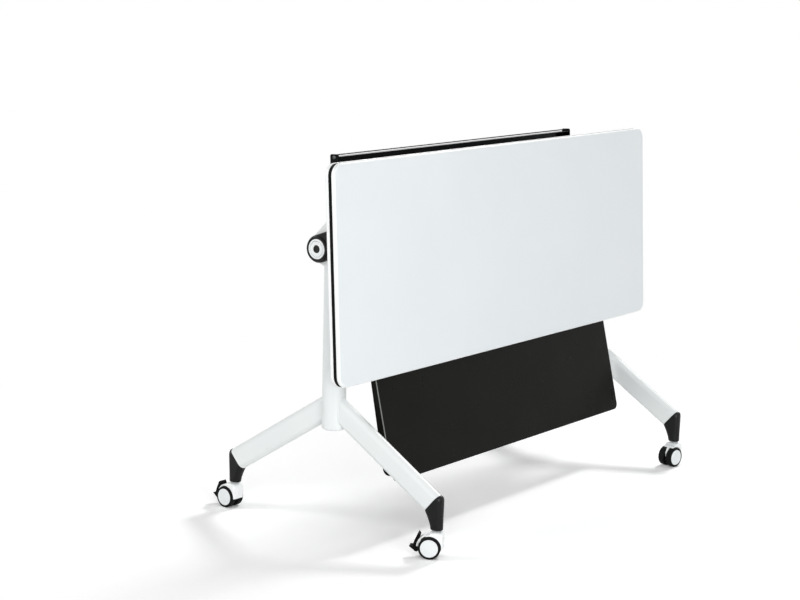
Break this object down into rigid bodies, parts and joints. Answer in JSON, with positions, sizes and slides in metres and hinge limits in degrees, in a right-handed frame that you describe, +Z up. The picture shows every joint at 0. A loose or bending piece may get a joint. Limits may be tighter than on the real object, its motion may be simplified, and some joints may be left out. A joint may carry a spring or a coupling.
{
  "type": "flip top training table",
  "caption": "Flip top training table on casters, stowed: white top turned up on edge between columns with splayed legs, black modesty panel and book shelf behind.",
  "frame": {"origin": "on the floor under the centre of the whole table's box in the stowed pose", "axes": "+Z up, +X along the length of the top, -Y the way the stowed work face looks"},
  "size_m": [1.2, 0.6224, 0.79],
  "materials": {
    "laminate": "white laminate on particle board, satin",
    "edging": "black soft edging strip set in a white edge band",
    "white_coat": "white powder coat on steel",
    "black_coat": "black powder coat on sheet steel",
    "steel": "zinc plated steel",
    "white_plastic": "white moulded plastic",
    "black_plastic": "black moulded plastic, fine grain",
    "tyre": "black moulded tread"
  },
  "bodies": {
    "frame": {"boot_front_left": "black_plastic", "boot_front_right": "black_plastic", "boot_rear_left": "black_plastic", "boot_rear_right": "black_plastic", "caster_stem_front_left": "steel", "caster_stem_front_right": "steel", "caster_stem_rear_left": "steel", "caster_stem_rear_right": "steel", "column_head_left": "white_coat", "column_head_right": "white_coat", "column_left": "white_coat", "column_right": "white_coat", "crossbeam": "white_coat", "leg_front_left": "white_coat", "leg_front_right": "white_coat", "leg_rear_left": "white_coat", "leg_rear_right": "white_coat"},
    "top": {"book_shelf": "black_coat", "edge_inlay": "edging", "panel_hinge_left": "black_coat", "panel_hinge_right": "black_coat", "pivot_cover_left": "black_plastic", "pivot_cover_right": "black_plastic", "pivot_disc_left": "white_plastic", "pivot_disc_right": "white_plastic", "shelf_bracket_left": "black_coat", "shelf_bracket_right": "black_coat", "support_arm_left": "white_coat", "support_arm_right": "white_coat", "tabletop_board": "laminate"},
    "panel": {"modesty_panel": "black_coat", "panel_hinge_rod": "steel"},
    "button_left": {"release_button_left": "black_plastic"},
    "button_right": {"release_button_right": "black_plastic"},
    "caster_front_left": {"caster_hood_front_left": "white_plastic", "caster_axle_front_left": "steel"},
    "wheel_front_left_a": {"tyre_front_left_a": "tyre", "wheel_disc_front_left_a": "white_plastic"},
    "wheel_front_left_b": {"tyre_front_left_b": "tyre", "wheel_disc_front_left_b": "white_plastic"},
    "lever_front_left": {"brake_lever_front_left": "black_plastic"},
    "caster_rear_left": {"caster_hood_rear_left": "white_plastic", "caster_axle_rear_left": "steel"},
    "wheel_rear_left_a": {"tyre_rear_left_a": "tyre", "wheel_disc_rear_left_a": "white_plastic"},
    "wheel_rear_left_b": {"tyre_rear_left_b": "tyre", "wheel_disc_rear_left_b": "white_plastic"},
    "lever_rear_left": {"brake_lever_rear_left": "black_plastic"},
    "caster_front_right": {"caster_hood_front_right": "white_plastic", "caster_axle_front_right": "steel"},
    "wheel_front_right_a": {"tyre_front_right_a": "tyre", "wheel_disc_front_right_a": "white_plastic"},
    "wheel_front_right_b": {"tyre_front_right_b": "tyre", "wheel_disc_front_right_b": "white_plastic"},
    "caster_rear_right": {"caster_hood_rear_right": "white_plastic", "caster_axle_rear_right": "steel"},
    "wheel_rear_right_a": {"tyre_rear_right_a": "tyre", "wheel_disc_rear_right_a": "white_plastic"},
    "wheel_rear_right_b": {"tyre_rear_right_b": "tyre", "wheel_disc_rear_right_b": "white_plastic"}
  },
  "joints": [
    {"name": "top_flip", "type": "hinge", "parent": "frame", "child": "top", "pos_m": [0, -0.0189, 0.607], "axis": [1, 0, 0], "range_deg": [-86.7, 0]},
    {"name": "panel_swing", "type": "hinge", "parent": "top", "child": "panel", "pos_m": [0, -0.08753, 0.38959], "axis": [1, 0, 0], "range_deg": [0, 105]},
    {"name": "release_left", "type": "slide", "parent": "top", "child": "button_left", "axis": [1, 0, 0], "range_m": [0, 0.004], "stiffness_N_per_m": 400},
    {"name": "release_right", "type": "slide", "parent": "top", "child": "button_right", "axis": [-1, 0, 0], "range_m": [0, 0.004], "stiffness_N_per_m": 400},
    {"name": "swivel_front_left", "type": "hinge", "parent": "frame", "child": "caster_front_left", "pos_m": [-0.485, -0.2919, 0.054], "axis": [0, 0, 1], "continuous": true},
    {"name": "roll_front_left_a", "type": "hinge", "parent": "caster_front_left", "child": "wheel_front_left_a", "pos_m": [-0.49157, -0.27954, 0.023], "axis": [-0.8829, -0.4695, 0], "continuous": true},
    {"name": "roll_front_left_b", "type": "hinge", "parent": "caster_front_left", "child": "wheel_front_left_b", "pos_m": [-0.49157, -0.27954, 0.023], "axis": [-0.8829, -0.4695, 0], "continuous": true},
    {"name": "brake_front_left", "type": "hinge", "parent": "caster_front_left", "child": "lever_front_left", "pos_m": [-0.50535, -0.25363, 0.02608], "axis": [-0.8829, -0.4695, 0], "range_deg": [0, 9]},
    {"name": "swivel_rear_left", "type": "hinge", "parent": "frame", "child": "caster_rear_left", "pos_m": [-0.485, 0.2541, 0.054], "axis": [0, 0, 1], "continuous": true},
    {"name": "roll_rear_left_a", "type": "hinge", "parent": "caster_rear_left", "child": "wheel_rear_left_a", "pos_m": [-0.48427, 0.26808, 0.023], "axis": [-0.9986, 0.0523, 0], "continuous": true},
    {"name": "roll_rear_left_b", "type": "hinge", "parent": "caster_rear_left", "child": "wheel_rear_left_b", "pos_m": [-0.48427, 0.26808, 0.023], "axis": [-0.9986, 0.0523, 0], "continuous": true},
    {"name": "brake_rear_left", "type": "hinge", "parent": "caster_rear_left", "child": "lever_rear_left", "pos_m": [-0.48273, 0.29738, 0.02608], "axis": [-0.9986, 0.0523, 0], "range_deg": [0, 9]},
    {"name": "swivel_front_right", "type": "hinge", "parent": "frame", "child": "caster_front_right", "pos_m": [0.485, -0.2919, 0.054], "axis": [0, 0, 1], "continuous": true},
    {"name": "roll_front_right_a", "type": "hinge", "parent": "caster_front_right", "child": "wheel_front_right_a", "pos_m": [0.47117, -0.28971, 0.023], "axis": [-0.1564, -0.9877, 0], "continuous": true},
    {"name": "roll_front_right_b", "type": "hinge", "parent": "caster_front_right", "child": "wheel_front_right_b", "pos_m": [0.47117, -0.28971, 0.023], "axis": [-0.1564, -0.9877, 0], "continuous": true},
    {"name": "swivel_rear_right", "type": "hinge", "parent": "frame", "child": "caster_rear_right", "pos_m": [0.485, 0.2541, 0.054], "axis": [0, 0, 1], "continuous": true},
    {"name": "roll_rear_right_a", "type": "hinge", "parent": "caster_rear_right", "child": "wheel_rear_right_a", "pos_m": [0.48378, 0.26805, 0.023], "axis": [-0.9962, -0.0872, 0], "continuous": true},
    {"name": "roll_rear_right_b", "type": "hinge", "parent": "caster_rear_right", "child": "wheel_rear_right_b", "pos_m": [0.48378, 0.26805, 0.023], "axis": [-0.9962, -0.0872, 0], "continuous": true}
  ]
}
